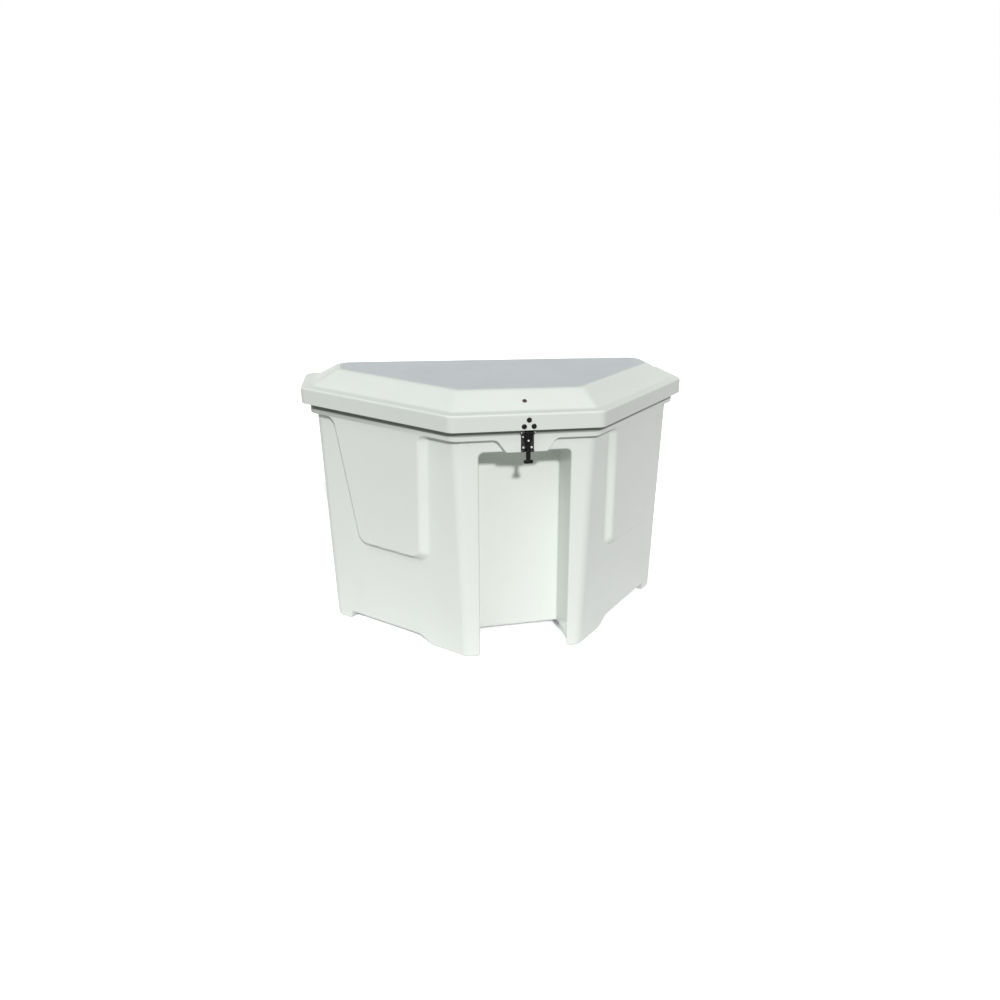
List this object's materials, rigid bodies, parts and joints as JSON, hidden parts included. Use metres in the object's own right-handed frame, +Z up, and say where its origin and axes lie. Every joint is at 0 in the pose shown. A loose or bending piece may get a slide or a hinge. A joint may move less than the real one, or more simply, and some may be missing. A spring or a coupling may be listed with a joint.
{
  "type": "dock storage box",
  "caption": "Trapezoid moulded dock storage box with a domed hinged lid, a front recess for a post, moulded feet, a rubber strap latch and gas struts.",
  "frame": {"origin": "on the ground under the middle of the box", "axes": "+Z up; the front with the latch and the recess faces -Y; +X to the right seen from the front"},
  "size_m": [1.4374, 0.746, 0.968],
  "materials": {
    "gelcoat": "glossy pale grey-green gelcoat on a glass-fibre moulding",
    "gelcoat_inside": "satin flow coat on bonded glass-fibre blocks",
    "hinge_steel": "brushed stainless steel",
    "fastener_steel": "stainless steel",
    "dark_bolt": "dark bronze-brown coated bolt heads",
    "black_metal": "black powder coat",
    "strap_rubber": "moulded black rubber",
    "seal_rubber": "black sponge rubber",
    "rod_chrome": "polished rod",
    "bush_plastic": "grey nylon"
  },
  "bodies": {
    "tub": {"tub_shell": "gelcoat", "drain_bush": "bush_plastic", "rim_seal": "seal_rubber", "keeper_plate": "black_metal", "keeper_screws": "fastener_steel", "keeper_nuts": "fastener_steel", "hinge_leaf_tub": "hinge_steel", "hinge_pin": "hinge_steel", "hinge_rivets_tub": "fastener_steel", "strut_pads_tub": "gelcoat_inside", "strut_bracket_left": "hinge_steel", "strut_bracket_right": "hinge_steel", "strut_screws_tub": "fastener_steel", "stud_clips": "fastener_steel"},
    "lid": {"lid_shell": "gelcoat", "lid_bar": "hinge_steel", "lid_stiffeners": "gelcoat_inside", "bar_bolt": "dark_bolt", "bar_nut": "fastener_steel", "hinge_leaf_lid": "hinge_steel", "hinge_rivets_lid": "fastener_steel", "latch_bracket": "black_metal", "latch_backing": "fastener_steel", "latch_bolts": "dark_bolt", "latch_nuts": "fastener_steel", "latch_pin": "fastener_steel", "strut_pads_lid": "gelcoat_inside", "strut_stud_left": "hinge_steel", "strut_stud_right": "hinge_steel", "strut_screws_lid": "fastener_steel"},
    "latch_strap": {"latch_strap": "strap_rubber", "strap_rivet": "fastener_steel"},
    "strut_body_left": {"strut_tube_left": "black_metal", "strut_gland_left": "fastener_steel", "strut_tail_left": "black_metal"},
    "strut_rod_left": {"strut_rod_left": "rod_chrome", "strut_head_left": "black_metal"},
    "strut_body_right": {"strut_tube_right": "black_metal", "strut_gland_right": "fastener_steel", "strut_tail_right": "black_metal"},
    "strut_rod_right": {"strut_rod_right": "rod_chrome", "strut_head_right": "black_metal"}
  },
  "joints": [
    {"name": "lid_hinge", "type": "hinge", "parent": "tub", "child": "lid", "pos_m": [0, 0.3685, 0.855], "axis": [-1, 0, 0], "range_deg": [0, 75]},
    {"name": "latch_swing", "type": "hinge", "parent": "lid", "child": "latch_strap", "pos_m": [0, -0.356, 0.846], "axis": [-1, 0, 0], "range_deg": [0, 105]},
    {"name": "strut_swing_left", "type": "hinge", "parent": "tub", "child": "strut_body_left", "pos_m": [-0.625, 0.2535, 0.655], "axis": [-1, 0, 0], "range_deg": [0, 26.68]},
    {"name": "strut_slide_left", "type": "slide", "parent": "strut_body_left", "child": "strut_rod_left", "axis": [0, -0.1414, 0.9899], "range_m": [0, 0.1286]},
    {"name": "strut_swing_right", "type": "hinge", "parent": "tub", "child": "strut_body_right", "pos_m": [0.625, 0.2535, 0.655], "axis": [-1, 0, 0], "range_deg": [0, 26.68]},
    {"name": "strut_slide_right", "type": "slide", "parent": "strut_body_right", "child": "strut_rod_right", "axis": [0, -0.1414, 0.9899], "range_m": [0, 0.1286]}
  ],
  "couplings": [
    {"joint": "strut_swing_left", "follows": "lid_hinge", "ratio": 0.35574},
    {"joint": "strut_slide_left", "follows": "lid_hinge", "m_per_rad": 0.098234},
    {"joint": "strut_swing_right", "follows": "lid_hinge", "ratio": 0.35574},
    {"joint": "strut_slide_right", "follows": "lid_hinge", "m_per_rad": 0.098234}
  ]
}
